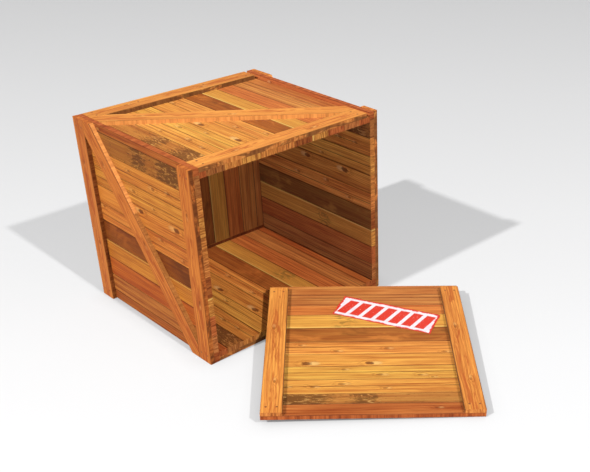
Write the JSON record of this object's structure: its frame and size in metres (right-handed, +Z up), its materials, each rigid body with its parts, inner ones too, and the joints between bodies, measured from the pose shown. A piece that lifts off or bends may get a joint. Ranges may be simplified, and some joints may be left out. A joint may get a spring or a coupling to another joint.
{
  "type": "wooden shipping crate",
  "caption": "Nailed wooden crate of mixed boards with edge battens and diagonal braces, open at the front; its loose lid panel leans on the sill and carries a paper label.",
  "frame": {"origin": "on the floor, under the middle of the crate (not of the crate and lid together)", "axes": "+Z up, +X to the right seen from the open front, +Y in through the opening towards the back; the lid lies in front, towards -Y"},
  "size_m": [1.0344, 1.5438, 0.7005],
  "materials": {
    "wood_red": "satin varnished softwood, reddish board",
    "wood_weathered": "dull weathered grey-brown board with a dark knot",
    "wood_amber": "satin varnished softwood with knots",
    "wood_gold": "satin varnished pale golden board",
    "wood_orange": "satin varnished orange board",
    "wood_dark": "dark stained brown board",
    "wood_red_orange": "satin varnished red-orange board",
    "wood_brown_orange": "satin varnished brown-orange board",
    "wood_inner": "boards of mixed orange and brown tones",
    "wood_batten": "satin varnished orange batten stock",
    "nail_steel": "darkened steel nail heads",
    "label_paper": "white paper with a rough red border and plain red bars"
  },
  "bodies": {
    "crate": {"back_boards": "wood_inner", "back_bottom_strip": "wood_red", "back_lower_batten": "wood_batten", "back_nails": "nail_steel", "back_upper_batten": "wood_batten", "floor_boards": "wood_inner", "floor_brace": "wood_batten", "floor_front_batten": "wood_batten", "floor_nails": "nail_steel", "floor_rear_batten": "wood_batten", "left_brace": "wood_batten", "left_front_batten": "wood_batten", "left_rear_batten": "wood_batten", "left_side_board_01": "wood_red", "left_side_board_02": "wood_weathered", "left_side_board_03": "wood_amber", "left_side_board_04": "wood_gold", "left_side_board_05": "wood_amber", "left_side_board_06": "wood_orange", "left_side_board_07": "wood_dark", "left_side_board_08": "wood_gold", "left_side_board_09": "wood_red_orange", "left_side_board_10": "wood_brown_orange", "left_side_board_11": "wood_red", "left_side_nails": "nail_steel", "right_brace": "wood_batten", "right_front_batten": "wood_batten", "right_rear_batten": "wood_batten", "right_side_boards": "wood_inner", "right_side_nails": "nail_steel", "top_board_01": "wood_red", "top_board_02": "wood_weathered", "top_board_03": "wood_amber", "top_board_04": "wood_gold", "top_board_05": "wood_amber", "top_board_06": "wood_orange", "top_board_07": "wood_dark", "top_board_08": "wood_gold", "top_board_09": "wood_red_orange", "top_board_10": "wood_brown_orange", "top_board_11": "wood_red", "top_brace": "wood_batten", "top_front_batten": "wood_batten", "top_nails": "nail_steel", "top_rear_batten": "wood_batten"},
    "lid": {"lid_board_01": "wood_red", "lid_board_02": "wood_weathered", "lid_board_03": "wood_amber", "lid_board_04": "wood_gold", "lid_board_05": "wood_amber", "lid_board_06": "wood_orange", "lid_board_07": "wood_dark", "lid_board_08": "wood_gold", "lid_board_09": "wood_red_orange", "lid_board_10": "wood_amber", "lid_board_11": "wood_brown_orange", "lid_label": "label_paper", "lid_left_batten": "wood_batten", "lid_nails": "nail_steel", "lid_right_batten": "wood_batten"}
  },
  "joints": [
    {"name": "lid_lift", "type": "slide", "parent": "crate", "child": "lid", "axis": [0, -0.6, 0.8], "range_m": [0, 0.6]}
  ]
}
